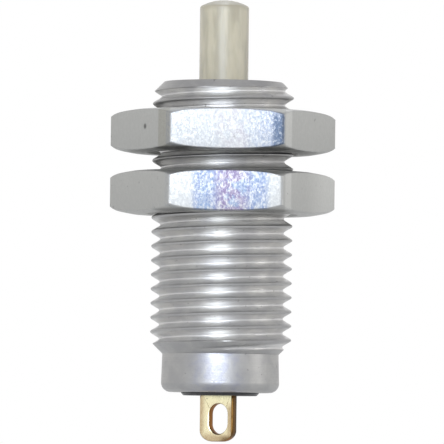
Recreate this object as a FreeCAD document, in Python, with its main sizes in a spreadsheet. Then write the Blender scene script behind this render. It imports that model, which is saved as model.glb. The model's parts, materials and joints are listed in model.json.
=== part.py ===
import FreeCAD, Part
import Sketcher
import math
import os
import re

# Momentary pushbutton switch for a panel hole. Millimetres, +Z towards the button.
# The origin is on the axis, in the plane where the lower nut's top face bears on the panel.

SIZES = (
    # threaded shell, heights from the panel seat, walls and steps measured inwards from the thread
    ("thread_diameter", 12.6),
    ("thread_length", 24.24),
    ("thread_chamfer", 1.0),
    ("barrel_top", 8.04),
    ("barrel_length", 27.64),
    ("skirt_step", 1.08),
    ("skirt_corner", 0.85),
    ("skirt_wall", 0.67),
    ("lip_overlap", 0.98),
    ("lip_thickness", 0.7),
    ("stack_depth", 6.94),
    ("bore_step", 0.55),
    ("guide_length", 4.5),
    ("edge_break", 0.2),
    # hexagon nuts
    ("nut_wall", 2.43),
    ("nut_thickness", 3.75),
    ("nut_countersink", 0.4),
    ("nut_chamfer_width", 0.6),
    ("nut_corner_drop", 0.34),
    ("nut_gap", 1.69),
    ("upper_nut_turn", 2.2),
    ("lower_nut_turn", 1.75),
    # plunger and the metal stem pressed into it
    ("plunger_diameter", 4.37),
    ("plunger_height", 7.35),
    ("plunger_dome", 4.4),
    ("plunger_flange_thickness", 2.0),
    ("spigot_diameter", 2.0),
    ("spigot_length", 3.8),
    ("spigot_relief", 0.2),
    ("stem_flange_thickness", 0.8),
    ("stem_diameter", 3.2),
    ("press_travel", 2.5),
    ("contact_head_thickness", 0.6),
    ("contact_edge", 0.3),
    ("contact_rivet_diameter", 1.2),
    ("contact_rivet_length", 1.4),
    # return spring
    ("spring_wire", 0.6),
    ("spring_turns", 5),
    # stack clamped between the bore's step and the rolled lip
    ("ring_thickness", 0.5),
    ("ring_gap_share", 0.24),
    ("spacer_wall", 1.2),
    ("base_flange_thickness", 1.64),
    ("base_boss_below", 0.28),
    ("fixed_contact_thickness", 0.5),
    # solder lug
    ("lug_turn", -28),
    ("lug_offset", 0.15),
    ("lug_width", 3.38),
    ("lug_thickness", 0.8),
    ("lug_below", 4.37),
    ("lug_corner", 0.95),
    ("lug_tongue_width", 2.2),
    ("lug_shoulder_depth", 0.6),
    ("lug_slot_width", 1.8),
    ("lug_slot_height", 2.7),
    ("lug_slot_below", 2.34),
    ("lug_slot_shift", 0.21),
    # clearances between pieces, on the diameter or the width
    ("nut_clearance", 0.1),
    ("guide_clearance", 0.14),
    ("stack_clearance", 0.1),
    ("boss_clearance", 0.22),
    ("spring_clearance", 0.8),
    ("contact_clearance", 1.0),
    ("press_clearance", 0.02),
    ("lug_clearance", 0.06),
)

# Diameters that follow from the thread and the walls.
SKIRT = "(thread_diameter - 2 * skirt_step)"
STACK_BORE = f"({SKIRT} - 2 * skirt_wall)"
STACK = f"({STACK_BORE} - stack_clearance)"
LIP_BORE = f"({STACK_BORE} - 2 * lip_overlap)"
BOSS = f"({LIP_BORE} - boss_clearance)"
MAIN_BORE = f"({STACK_BORE} - 2 * bore_step)"
GUIDE_BORE = "(plunger_diameter + guide_clearance)"
PLUNGER_FLANGE = f"({MAIN_BORE} - guide_clearance)"
SPRING = f"({MAIN_BORE} - spring_clearance)"
SPIGOT_HOLE = "(spigot_diameter + press_clearance)"
RIVET_HOLE = "(contact_rivet_diameter + press_clearance)"
RING_BORE = f"(stem_diameter + ring_gap_share * ({STACK} - stem_diameter))"
SPACER_BORE = f"({STACK} - 2 * spacer_wall)"
FIXED_CONTACT = f"({SPACER_BORE} - contact_clearance)"
NUT_BORE = "(thread_diameter + nut_clearance)"
NUT_FLATS = "(thread_diameter + 2 * nut_wall)"
NUT_CORNER = f"({NUT_FLATS} / sqrt(3))"
NUT_FACE = f"({NUT_FLATS} / 2 - nut_chamfer_width)"

# Levels that follow from the lengths.
BARREL_END = "(barrel_top - barrel_length)"
THREAD_END = "(barrel_top - thread_length)"
STEP = f"({BARREL_END} + stack_depth)"
LIP_SEAT = f"({BARREL_END} + lip_thickness)"
PLUNGER_REST = "(barrel_top - guide_length)"
STEM_REST = f"({PLUNGER_REST} - plunger_flange_thickness)"
SPRING_TOP = f"({STEM_REST} - stem_flange_thickness)"
BASE_TOP = f"({LIP_SEAT} + base_flange_thickness)"
BASE_END = f"({BARREL_END} - base_boss_below)"
CONTACT_TOP = f"({BASE_TOP} + fixed_contact_thickness)"
CONTACT_TIP = f"({CONTACT_TOP} + press_travel)"
STEM_END = f"({CONTACT_TIP} + contact_head_thickness)"
LUG_SHOULDER = f"({BASE_END} + lug_shoulder_depth)"
LUG_TIP = f"({BARREL_END} - lug_below)"

doc = FreeCAD.newDocument("pushbutton_switch")
sheet = doc.addObject("Spreadsheet::Sheet", "sizes")
for row, (alias, value) in enumerate(SIZES, start=1):
    sheet.set(f"A{row}", alias)
    sheet.set(f"B{row}", str(value))
    sheet.setAlias(f"B{row}", alias)
doc.recompute()


def cell(formula):
    """The formula with each size name pointed at its cell."""
    return re.sub(r"\b([a-z]+(?:_[a-z]+)+)\b", r"sizes.\1", formula)


def value_of(formula):
    """The formula's present value as a plain number."""
    return float(sheet.evalExpression(cell(formula)))


def new_body(name, lift="0", turn="0"):
    """An empty body at its own height and turn about the axis."""
    body = doc.addObject("PartDesign::Body", name)
    body.Label = name
    body.Placement = FreeCAD.Placement(
        FreeCAD.Vector(0, 0, value_of(lift)), FreeCAD.Rotation(FreeCAD.Vector(0, 0, 1), value_of(turn))
    )
    body.setExpression("Placement.Base.z", cell(lift))
    body.setExpression("Placement.Rotation.Angle", f"({cell(turn)}) * 1 deg")
    return body


def new_sketch(body, name, role):
    """A sketch on one of the body's own origin planes."""
    sketch = body.newObject("Sketcher::SketchObject", f"{body.Name}_{name}")
    plane = next(part for part in body.Origin.OriginFeatures if part.Role == role)
    sketch.AttachmentSupport = [(plane, "")]
    sketch.MapMode = "FlatFace"
    doc.recompute()
    return sketch


def pin_point(sketch, edge, end, x, y):
    """Tie a point of the sketch to coordinates that follow the sizes."""
    for kind, formula in (("DistanceX", x), ("DistanceY", y)):
        if formula == "0":
            axis = -2 if kind == "DistanceX" else -1
            sketch.addConstraint(Sketcher.Constraint("PointOnObject", edge, end, axis))
            continue
        index = sketch.addConstraint(Sketcher.Constraint(kind, -1, 1, edge, end, value_of(formula)))
        sketch.setExpression(f"Constraints[{index}]", cell(formula))


def add_loop(sketch, corners):
    """A closed loop of straight lines. Each corner is a pair of size formulas."""
    points = [FreeCAD.Vector(value_of(x), value_of(y), 0) for x, y in corners]
    count = len(corners)
    lines = [
        sketch.addGeometry(Part.LineSegment(points[i], points[(i + 1) % count]), False) for i in range(count)
    ]
    for i, (x, y) in enumerate(corners):
        sketch.addConstraint(Sketcher.Constraint("Coincident", lines[i - 1], 2, lines[i], 1))
        pin_point(sketch, lines[i], 1, x, y)
    return lines


def turned(body, *loops):
    """A solid of revolution about the body's Z axis."""
    sketch = new_sketch(body, "section", "XZ_Plane")
    for corners in loops:
        add_loop(sketch, corners)
    solid = body.newObject("PartDesign::Revolution", f"{body.Name}_turned")
    solid.Profile = sketch
    solid.ReferenceAxis = (sketch, ["V_Axis"])
    solid.Angle = 360
    doc.recompute()
    return solid


def rectangle(x, width, height):
    """Corners of a rectangle centred at (x, 0)."""
    left, right = f"{x} - ({width}) / 2", f"{x} + ({width}) / 2"
    low, high = f"0 - ({height}) / 2", f"({height}) / 2"
    return [(left, low), (right, low), (right, high), (left, high)]


def cut_up(body, name, corners, depth=None):
    """A pocket upwards from the body's origin plane, right through when no depth is given."""
    sketch = new_sketch(body, name + "_outline", "XY_Plane")
    add_loop(sketch, corners)
    pocket = body.newObject("PartDesign::Pocket", f"{body.Name}_{name}")
    pocket.Profile = sketch
    pocket.Reversed = True
    pocket.Type = "Length" if depth else "ThroughAll"
    if depth:
        pocket.setExpression("Length", cell(depth))
    doc.recompute()
    return pocket


def round_edges(body, base, name, radius, chosen):
    """A fillet on the edges of the base feature that the test picks."""
    names = [f"Edge{i}" for i, edge in enumerate(base.Shape.Edges, start=1) if chosen(edge)]
    if not names:
        raise RuntimeError(f"no edge found for {name}")
    fillet = body.newObject("PartDesign::Fillet", f"{body.Name}_{name}")
    fillet.Base = (base, names)
    fillet.setExpression("Radius", cell(radius))
    doc.recompute()
    return fillet


def at_height(edge, height, tolerance=1e-4):
    """Whether the whole edge lies at one height."""
    box = edge.BoundBox
    return abs(box.ZMin - height) < tolerance and abs(box.ZMax - height) < tolerance


# Threaded shell, turned from one bar: guide hole and button bore above, stack bore and rolled lip below.
# The rolled corner is drawn as two flats that meet on its arc.
ARC_MIDDLE = round(1 - math.sqrt(0.5), 4)
turned(
    new_body("barrel"),
    [
        (f"{GUIDE_BORE} / 2 + edge_break", "barrel_top"),
        ("thread_diameter / 2 - thread_chamfer", "barrel_top"),
        ("thread_diameter / 2", "barrel_top - thread_chamfer"),
        ("thread_diameter / 2", f"{THREAD_END} + skirt_step"),
        (f"{SKIRT} / 2", THREAD_END),
        (f"{SKIRT} / 2", f"{BARREL_END} + skirt_corner"),
        (f"{SKIRT} / 2 - {ARC_MIDDLE} * skirt_corner", f"{BARREL_END} + {ARC_MIDDLE} * skirt_corner"),
        (f"{SKIRT} / 2 - skirt_corner", BARREL_END),
        (f"{LIP_BORE} / 2", BARREL_END),
        (f"{LIP_BORE} / 2", LIP_SEAT),
        (f"{STACK_BORE} / 2", LIP_SEAT),
        (f"{STACK_BORE} / 2", STEP),
        (f"{MAIN_BORE} / 2", STEP),
        (f"{MAIN_BORE} / 2", PLUNGER_REST),
        (f"{GUIDE_BORE} / 2", PLUNGER_REST),
        (f"{GUIDE_BORE} / 2", "barrel_top - edge_break"),
    ],
)


def hexagon_nut(name, lift, turn):
    """A hexagon nut with both faces chamfered and the hole countersunk at both ends."""
    body = new_body(name, lift, turn)
    sketch = new_sketch(body, "hexagon", "XY_Plane")
    corner = value_of(NUT_CORNER)
    points = [
        FreeCAD.Vector(corner * math.cos(math.radians(60 * i)), corner * math.sin(math.radians(60 * i)), 0)
        for i in range(6)
    ]
    sides = [sketch.addGeometry(Part.LineSegment(points[i], points[(i + 1) % 6]), False) for i in range(6)]
    around = sketch.addGeometry(Part.Circle(FreeCAD.Vector(), FreeCAD.Vector(0, 0, 1), corner), True)
    sketch.addConstraint(Sketcher.Constraint("Coincident", around, 3, -1, 1))
    index = sketch.addConstraint(Sketcher.Constraint("Radius", around, corner))
    sketch.setExpression(f"Constraints[{index}]", cell(NUT_CORNER))
    for i in range(6):
        sketch.addConstraint(Sketcher.Constraint("Coincident", sides[i - 1], 2, sides[i], 1))
        sketch.addConstraint(Sketcher.Constraint("PointOnObject", sides[i], 1, around))
    for i in range(1, 6):
        sketch.addConstraint(Sketcher.Constraint("Equal", sides[0], sides[i]))
    sketch.addConstraint(Sketcher.Constraint("PointOnObject", sides[0], 1, -1))
    hole = sketch.addGeometry(
        Part.Circle(FreeCAD.Vector(), FreeCAD.Vector(0, 0, 1), value_of(f"{NUT_BORE} / 2")), False
    )
    sketch.addConstraint(Sketcher.Constraint("Coincident", hole, 3, -1, 1))
    index = sketch.addConstraint(Sketcher.Constraint("Radius", hole, value_of(f"{NUT_BORE} / 2")))
    sketch.setExpression(f"Constraints[{index}]", cell(f"{NUT_BORE} / 2"))
    blank = body.newObject("PartDesign::Pad", f"{name}_blank")
    blank.Profile = sketch
    blank.setExpression("Length", cell("nut_thickness"))
    doc.recompute()

    flank = new_sketch(body, "chamfers", "XZ_Plane")
    outer = f"({NUT_CORNER} + nut_chamfer_width)"
    fall = f"(nut_corner_drop * ({outer} - {NUT_FACE}) / ({NUT_CORNER} - {NUT_FACE}))"
    sink = f"{NUT_BORE} / 2 + nut_countersink"
    inside = f"{NUT_BORE} / 2 - nut_countersink"
    depth = "2 * nut_countersink"
    for level, down in (("0", "+"), ("nut_thickness", "-")):
        base = "" if level == "0" else level
        add_loop(flank, [(NUT_FACE, level), (outer, f"{base} {down} {fall}"), (outer, level)])
        add_loop(flank, [(sink, level), (inside, level), (inside, f"{base} {down} {depth}")])
    cut = body.newObject("PartDesign::Groove", f"{name}_chamfers")
    cut.Profile = flank
    cut.ReferenceAxis = (flank, ["V_Axis"])
    cut.Angle = 360
    doc.recompute()


hexagon_nut("upper_nut", "nut_gap", "upper_nut_turn")
hexagon_nut("lower_nut", "0 - nut_thickness", "lower_nut_turn")

# Moulded plunger with a domed end; the flange under the shell's end wall stops it at rest.
plunger = new_body("plunger", STEM_REST)
section = new_sketch(plunger, "section", "XZ_Plane")
rod = "plunger_diameter / 2"
tip = f"barrel_top + plunger_height - {STEM_REST}"
shoulder = f"{tip} - plunger_dome + sqrt(plunger_dome ^ 2 - plunger_diameter ^ 2 / 4)"
hole = f"{SPIGOT_HOLE} / 2"
hole_end = "spigot_length + spigot_relief"
corners = [
    ("0", tip),
    ("0", hole_end),
    (hole, hole_end),
    (hole, "0"),
    (f"{PLUNGER_FLANGE} / 2", "0"),
    (f"{PLUNGER_FLANGE} / 2", "plunger_flange_thickness"),
    (rod, "plunger_flange_thickness"),
    (rod, shoulder),
]
points = [FreeCAD.Vector(value_of(x), value_of(y), 0) for x, y in corners]
lines = [
    section.addGeometry(Part.LineSegment(points[i], points[i + 1]), False) for i in range(len(points) - 1)
]
for i, (x, y) in enumerate(corners[:-1]):
    if i:
        section.addConstraint(Sketcher.Constraint("Coincident", lines[i - 1], 2, lines[i], 1))
    pin_point(section, lines[i], 1, x, y)
pin_point(section, lines[-1], 2, *corners[-1])
centre = FreeCAD.Vector(0, value_of(f"{tip} - plunger_dome"), 0)
dome_circle = Part.Circle(centre, FreeCAD.Vector(0, 0, 1), value_of("plunger_dome"))
start_angle = math.atan2(points[-1].y - centre.y, points[-1].x)
dome = section.addGeometry(Part.ArcOfCircle(dome_circle, start_angle, math.pi / 2), False)
section.addConstraint(Sketcher.Constraint("Coincident", dome, 1, lines[-1], 2))
section.addConstraint(Sketcher.Constraint("Coincident", dome, 2, lines[0], 1))
section.addConstraint(Sketcher.Constraint("PointOnObject", dome, 3, -2))
plunger_turned = plunger.newObject("PartDesign::Revolution", "plunger_turned")
plunger_turned.Profile = section
plunger_turned.ReferenceAxis = (section, ["V_Axis"])
plunger_turned.Angle = 360
doc.recompute()

# Metal stem: the spigot is pressed into the plunger and the flange seats the spring.
stem_end = f"{STEM_END} - {STEM_REST}"
turned(
    new_body("contact_stem", STEM_REST),
    [
        ("0", "spigot_length"),
        ("spigot_diameter / 2 - edge_break", "spigot_length"),
        ("spigot_diameter / 2", "spigot_length - edge_break"),
        ("spigot_diameter / 2", "0"),
        (f"{SPRING} / 2", "0"),
        (f"{SPRING} / 2", "0 - stem_flange_thickness"),
        ("stem_diameter / 2", "0 - stem_flange_thickness"),
        ("stem_diameter / 2", stem_end),
        (f"{RIVET_HOLE} / 2", stem_end),
        (f"{RIVET_HOLE} / 2", f"{stem_end} + contact_rivet_length + spigot_relief"),
        ("0", f"{stem_end} + contact_rivet_length + spigot_relief"),
    ],
)

# Contact rivet in the end of the stem.
turned(
    new_body("moving_contact", STEM_END),
    [
        ("0", "0 - contact_head_thickness"),
        ("stem_diameter / 2 - contact_edge", "0 - contact_head_thickness"),
        ("stem_diameter / 2", "contact_edge - contact_head_thickness"),
        ("stem_diameter / 2", "0"),
        ("contact_rivet_diameter / 2", "0"),
        ("contact_rivet_diameter / 2", "contact_rivet_length"),
        ("0", "contact_rivet_length"),
    ],
)

# Return spring between the stem's flange and the ring, at its resting length, with a six-sided wire.
spring = new_body("return_spring", STEP)
wire = new_sketch(spring, "wire", "XZ_Plane")
wire_flat = math.cos(math.radians(30))
add_loop(
    wire,
    [
        (
            f"{SPRING} / 2 - spring_wire / 2 * {1 - math.cos(math.radians(60 * i)):.4f}",
            f"spring_wire / 2 * {wire_flat + math.sin(math.radians(60 * i)):.4f}",
        )
        for i in range(6)
    ],
)
coil = spring.newObject("PartDesign::AdditiveHelix", "return_spring_coil")
coil.Profile = wire
coil.ReferenceAxis = (wire, ["V_Axis"])
coil.Mode = "height-turns-angle"
coil.Angle = 0
coil.setExpression("Height", cell(f"{SPRING_TOP} - {STEP} - spring_wire * {wire_flat:.4f}"))
coil.setExpression("Turns", cell("spring_turns"))
doc.recompute()


def washer(name, lift, bore, thickness):
    """A plain ring of the stack's diameter."""
    turned(
        new_body(name, lift),
        [
            (f"{bore} / 2", "0"),
            (f"{STACK} / 2", "0"),
            (f"{STACK} / 2", thickness),
            (f"{bore} / 2", thickness),
        ],
    )


washer("ground_ring", f"{STEP} - ring_thickness", RING_BORE, "ring_thickness")
washer("insulating_spacer", BASE_TOP, SPACER_BORE, f"{STEP} - ring_thickness - {BASE_TOP}")

slot_height = "lug_thickness + lug_clearance"
tongue_slot = rectangle("0 - lug_offset", "lug_tongue_width + lug_clearance", slot_height)
blade_slot = rectangle("0 - lug_offset", "lug_width + lug_clearance", slot_height)

# Moulded base: the flange is held by the rolled lip and the boss shows below it.
terminal_base = new_body("terminal_base", BASE_END, "lug_turn")
turned(
    terminal_base,
    [
        ("0", "0"),
        (f"{BOSS} / 2 - edge_break", "0"),
        (f"{BOSS} / 2", "edge_break"),
        (f"{BOSS} / 2", f"{LIP_SEAT} - {BASE_END}"),
        (f"{STACK} / 2", f"{LIP_SEAT} - {BASE_END}"),
        (f"{STACK} / 2", f"{BASE_TOP} - {BASE_END}"),
        ("0", f"{BASE_TOP} - {BASE_END}"),
    ],
)
cut_up(terminal_base, "tongue_slot", tongue_slot)
cut_up(terminal_base, "blade_slot", blade_slot, "lug_shoulder_depth")

# Contact disc on the base, held by the lug's tongue.
fixed_contact = new_body("fixed_contact", BASE_TOP, "lug_turn")
turned(
    fixed_contact,
    [
        ("0", "0"),
        (f"{FIXED_CONTACT} / 2", "0"),
        (f"{FIXED_CONTACT} / 2", "fixed_contact_thickness"),
        ("0", "fixed_contact_thickness"),
    ],
)
cut_up(fixed_contact, "tongue_slot", tongue_slot)

# Solder lug, stamped from sheet: a tongue up through the base and a blade with an oblong wire slot.
lug = new_body("terminal_lug", LUG_SHOULDER, "lug_turn")
blade = new_sketch(lug, "outline", "XZ_Plane")
blade_left, blade_right = "0 - lug_offset - lug_width / 2", "lug_width / 2 - lug_offset"
tongue_left, tongue_right = "0 - lug_offset - lug_tongue_width / 2", "lug_tongue_width / 2 - lug_offset"
tongue_end = f"{CONTACT_TOP} - {LUG_SHOULDER}"
blade_end = f"{LUG_TIP} - {LUG_SHOULDER}"
add_loop(
    blade,
    [
        (blade_left, "0"),
        (blade_left, blade_end),
        (blade_right, blade_end),
        (blade_right, "0"),
        (tongue_right, "0"),
        (tongue_right, tongue_end),
        (tongue_left, tongue_end),
        (tongue_left, "0"),
    ],
)
lug_blank = lug.newObject("PartDesign::Pad", "terminal_lug_blank")
lug_blank.Profile = blade
lug_blank.SideType = "Symmetric"
lug_blank.setExpression("Length", cell("lug_thickness"))
doc.recompute()

wire_slot = new_sketch(lug, "wire_slot_outline", "XZ_Plane")
slot_middle = f"{BARREL_END} - lug_slot_below - {LUG_SHOULDER}"
slot_half = "(lug_slot_height - lug_slot_width) / 2"
slot_axis = "lug_slot_shift - lug_offset"
slot_edges = f"{slot_axis} - lug_slot_width / 2", f"{slot_axis} + lug_slot_width / 2"
slot_low, slot_high = f"{slot_middle} - {slot_half}", f"{slot_middle} + {slot_half}"
sides = []
for x, first, last in zip(slot_edges, (slot_high, slot_low), (slot_low, slot_high)):
    ends = [FreeCAD.Vector(value_of(x), value_of(y), 0) for y in (first, last)]
    side = wire_slot.addGeometry(Part.LineSegment(*ends), False)
    pin_point(wire_slot, side, 1, x, first)
    pin_point(wire_slot, side, 2, x, last)
    sides.append(side)
for i, (level, start_angle) in enumerate(((slot_low, math.pi), (slot_high, 0))):
    centre = FreeCAD.Vector(value_of(slot_axis), value_of(level), 0)
    circle = Part.Circle(centre, FreeCAD.Vector(0, 0, 1), value_of("lug_slot_width / 2"))
    arc = wire_slot.addGeometry(Part.ArcOfCircle(circle, start_angle, start_angle + math.pi), False)
    wire_slot.addConstraint(Sketcher.Constraint("Coincident", arc, 1, sides[i], 2))
    wire_slot.addConstraint(Sketcher.Constraint("Coincident", arc, 2, sides[1 - i], 1))
    index = wire_slot.addConstraint(Sketcher.Constraint("DistanceY", -1, 1, arc, 3, value_of(level)))
    wire_slot.setExpression(f"Constraints[{index}]", cell(level))
slot_cut = lug.newObject("PartDesign::Pocket", "terminal_lug_wire_slot")
slot_cut.Profile = wire_slot
slot_cut.Type = "ThroughAll"
slot_cut.SideType = "Symmetric"
doc.recompute()
round_edges(
    lug,
    slot_cut,
    "tip_corners",
    "lug_corner",
    lambda edge: at_height(edge, value_of(blade_end)) and edge.BoundBox.XLength < 1e-4,
)

# Every feature has to be sound and every cut has to remove material before the bodies are written.
doc.recompute()
for item in doc.Objects:
    if {"Invalid", "Error"} & set(item.State):
        raise RuntimeError(f"{item.Name} is {item.State}")
    if item.TypeId in ("PartDesign::Pocket", "PartDesign::Groove"):
        if item.Shape.Volume > item.BaseFeature.Shape.Volume - 1e-3:
            raise RuntimeError(f"{item.Name} cuts nothing")

os.makedirs("parts", exist_ok=True)
for body in doc.findObjects("PartDesign::Body"):
    if body.Shape.isNull() or not body.Shape.isValid() or len(body.Shape.Solids) != 1:
        raise RuntimeError(f"{body.Label} is not one sound solid")
    body.Shape.exportStep(f"parts/{body.Label}.step")
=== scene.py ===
import functools
import json
from math import atan2, cos, degrees, pi, radians, sin, sqrt

import bmesh
import bpy
from bpy.props import FloatProperty, FloatVectorProperty, IntProperty, PointerProperty
from mathutils import Matrix, Vector


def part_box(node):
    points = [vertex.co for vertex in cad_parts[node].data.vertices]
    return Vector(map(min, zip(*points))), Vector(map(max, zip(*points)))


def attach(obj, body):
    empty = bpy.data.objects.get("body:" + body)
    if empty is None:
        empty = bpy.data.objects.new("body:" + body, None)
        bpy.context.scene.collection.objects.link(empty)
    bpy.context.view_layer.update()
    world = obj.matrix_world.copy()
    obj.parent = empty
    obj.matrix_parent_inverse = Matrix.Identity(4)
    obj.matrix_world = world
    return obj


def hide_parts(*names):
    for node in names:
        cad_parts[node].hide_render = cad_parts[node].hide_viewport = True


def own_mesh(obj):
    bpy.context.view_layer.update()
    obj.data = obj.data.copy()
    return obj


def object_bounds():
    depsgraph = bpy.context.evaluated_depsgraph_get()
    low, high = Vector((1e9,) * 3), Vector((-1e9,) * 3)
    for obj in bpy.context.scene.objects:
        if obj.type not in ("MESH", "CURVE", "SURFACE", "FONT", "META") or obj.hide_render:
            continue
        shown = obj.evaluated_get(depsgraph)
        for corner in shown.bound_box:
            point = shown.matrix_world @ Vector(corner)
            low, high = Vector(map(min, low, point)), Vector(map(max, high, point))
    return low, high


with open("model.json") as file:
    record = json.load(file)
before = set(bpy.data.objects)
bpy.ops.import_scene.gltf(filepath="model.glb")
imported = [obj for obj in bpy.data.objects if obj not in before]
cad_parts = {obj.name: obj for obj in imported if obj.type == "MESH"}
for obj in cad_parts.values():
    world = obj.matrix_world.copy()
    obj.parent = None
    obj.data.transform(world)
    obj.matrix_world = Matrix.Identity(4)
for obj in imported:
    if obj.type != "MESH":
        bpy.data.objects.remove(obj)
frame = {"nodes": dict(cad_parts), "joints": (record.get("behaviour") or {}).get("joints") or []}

bl_info = {
    "name": "Pushbutton Switch",
    "version": (1, 0, 0),
    "blender": (4, 5, 0),
    "location": "View3D > Sidebar > Switch",
    "description": "Dresses a panel pushbutton switch: threaded barrel, hexagon nuts, plunger, lug and stage",
    "category": "Object",
}

MM = 0.001
CAD_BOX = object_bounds()
BARREL_LOW, BARREL_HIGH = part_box("barrel")
UPPER_LOW, UPPER_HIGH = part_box("upper_nut")
LOWER_LOW, LOWER_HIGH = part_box("lower_nut")
PLUNGER_LOW, PLUNGER_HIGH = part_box("plunger")
SPRING_LOW, SPRING_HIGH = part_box("return_spring")
LUG_LOW, LUG_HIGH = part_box("terminal_lug")


def length(name, description, millimetres, low=0.0):
    """A length that the user may change."""
    default = millimetres * MM
    return FloatProperty(
        name=name, description=description, default=default, min=low, precision=6, unit="LENGTH", subtype="DISTANCE"
    )


# A level on the axis, above or below the panel seat.
height = functools.partial(length, low=-1.0)


def angle(name, description, turn):
    """An angle that the user may change."""
    return FloatProperty(
        name=name, description=description, default=radians(turn), unit="ROTATION", subtype="ANGLE"
    )


def colour(name, description, default):
    """A surface colour."""
    return FloatVectorProperty(
        name=name, description=description, default=default, size=3, min=0.0, max=1.0, subtype="COLOR"
    )


class SwitchThread(bpy.types.PropertyGroup):
    """Sizes of the thread that the barrel and the nuts share."""

    pitch: length("Pitch", "Height of one turn", 1.27)
    crest_radius: length("Crest radius", "Half the outside diameter", BARREL_HIGH[0] / MM)
    root_radius: length("Root radius", "Half the root diameter", 5.5)
    crest_height: height("Crest height", "Level of a crest on the +X side", 0.355)
    softness: length("Edge softness", "Rounding of the crests and roots", 0.26)
    play: length("Play", "Gap between the flanks of barrel and nut", 0.05)
    nut_crest_gap: length("Gap over the crests", "Gap from a crest to the nut's groove", 0.08)
    nut_root_gap: length("Gap under the ridges", "Gap from a nut's ridge to the root", 0.18)
    columns: IntProperty(name="Columns", description="Faces around one turn", default=144, min=36)
    rows: IntProperty(name="Rows", description="Faces across one pitch", default=16, min=8)


class SwitchBarrel(bpy.types.PropertyGroup):
    """Sizes of the turned shell."""

    rim_radius: length("Rim radius", "Outer radius of the flat top face", 5.3)
    thread_end: height("Thread end", "Level of the thread's low end", -16.2)
    skirt_radius: length("Skirt radius", "Outer radius of the plain skirt", 5.22)
    skirt_flare: length("Skirt flare", "How much wider its foot is", 0.04)
    corner_radius: length("Corner radius", "Rounding of the rolled bottom edge", 0.85)
    lip_radius: length("Lip radius", "Radius of the lip's opening", 3.57)
    lip_thickness: length("Lip thickness", "Thickness of the rolled lip", 0.7)
    stack_radius: length("Stack bore radius", "Radius of the base's bore", 4.55)
    stack_depth: length("Stack bore depth", "Depth of that bore", 6.94)
    main_radius: length("Main bore radius", "Radius of the spring's bore", 4.0)
    guide_radius: length("Guide radius", "Radius of the plunger's hole", 2.255)
    guide_length: length("Guide length", "Length of the plunger's hole", 4.5)


class SwitchNut(bpy.types.PropertyGroup):
    """Sizes of the hexagon nuts."""

    across_flats: length("Across flats", "Distance between opposite flats", 17.46)
    chamfer_width: length("Chamfer width", "Width of the chamfer on a flat", 0.6)
    corner_drop: length("Corner drop", "Height of the chamfer at a corner", 0.34)
    corner_roll: length("Corner roll", "How much further it rolls down there", 0.3)
    countersink: length("Countersink", "Depth of the hole's countersinks", 0.45)
    corner_radius: length("Corner radius", "Rounding of the upright corners", 0.4)
    edge_radius: length("Edge radius", "Rounding of the chamfers' edges", 0.16)
    upper_turn: angle("Upper turn", "Turn of the upper nut", 2.2)
    lower_turn: angle("Lower turn", "Turn of the lower nut", 1.75)


class SwitchPlunger(bpy.types.PropertyGroup):
    """Sizes of the plunger and its spring."""

    radius: length("Radius", "Radius of the plunger's rod", 2.185)
    flange_radius: length("Flange radius", "Radius of the hidden flange", 3.93)
    flange_height: length("Flange height", "Height of that flange", 2.0)
    dome_radius: length("Dome radius", "Radius of the domed end", 4.4)
    shoulder_radius: length("Shoulder radius", "Rounding between the rod and the dome", 0.28)
    hole_radius: length("Hole radius", "Radius of the hole for the stem", 1.01)
    hole_depth: length("Hole depth", "Depth of that hole", 4.0)
    wire_radius: length("Wire radius", "Radius of the spring's wire", 0.3)
    open_turns: IntProperty(name="Open turns", description="Working turns of the spring", default=5, min=2)


class SwitchTerminal(bpy.types.PropertyGroup):
    """Sizes of the solder lug and the moulded base."""

    turn: angle("Turn", "Turn of the lug about the axis", -28)
    offset: length("Offset", "Distance of its middle from the axis", 0.15)
    width: length("Width", "Width of the blade", 3.38)
    thickness: length("Thickness", "Thickness of the sheet", 0.8)
    corner_width: length("Corner width", "How far across the tip's rounding reaches", 1.29)
    corner_height: length("Corner height", "How far up that rounding reaches", 0.98)
    shoulder: height("Shoulder", "Level of the blade's shoulders", -19.28)
    tongue_width: length("Tongue width", "Width above the shoulders", 2.2)
    slot_width: length("Slot width", "Width of the wire slot", 1.8)
    slot_length: length("Slot length", "Length of the wire slot", 2.7)
    slot_height: height("Slot height", "Level of the slot's middle", -21.94)
    slot_shift: length("Slot shift", "Distance of the slot's middle from the blade's", 0.21)
    edge_radius: length("Edge radius", "Rounding of the sheet's edges", 0.14)


class SwitchFinish(bpy.types.PropertyGroup):
    """Colours of the finishes."""

    barrel: colour("Barrel", "Plating of the barrel", (0.42, 0.415, 0.405))
    nut: colour("Nut", "Plating of the nuts", (0.445, 0.445, 0.43))
    nut_tint: colour("Nut tint", "Blue cast where the plating is stained", (0.2, 0.26, 0.38))
    nut_violet: colour("Nut violet", "Violet cast beside the blue", (0.2, 0.16, 0.27))
    skirt_cast: colour("Skirt cast", "Bluish smears on the skirt", (0.86, 0.88, 1.0))
    # A painted shade: the darker strip beside the upper nut's left front corner.
    nut_facet_shade: colour("Nut facet shade", "Painted shade strip on the upper nut", (0.37, 0.365, 0.335))
    contact: colour("Contact", "Plating of the contacts", (0.66, 0.66, 0.63))
    spring: colour("Spring", "Steel of the return spring", (0.33, 0.33, 0.34))
    nylon: colour("Nylon", "Natural nylon of the plunger", (0.375, 0.345, 0.262))
    brass: colour("Brass", "Sheet brass of the lug", (0.98, 0.86, 0.57))
    # A painted shade along the lug's rounded borders and tip.
    brass_border_shade: colour("Brass border shade", "Painted shade along the lug's borders", (0.55, 0.42, 0.25))
    # The cut edges' colour, also used as painted shade at the right border and tip of the lug's face.
    brass_edge: colour("Brass edge", "Sheared edges of the lug", (0.14, 0.072, 0.02))
    slot_edge: colour("Slot edge", "Wall of the wire slot", (0.26, 0.1, 0.01))
    moulding: colour("Moulding", "Black moulding of the base", (0.012, 0.012, 0.014))
    spacer: colour("Spacer", "Brown moulding of the spacer", (0.08, 0.035, 0.015))


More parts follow.
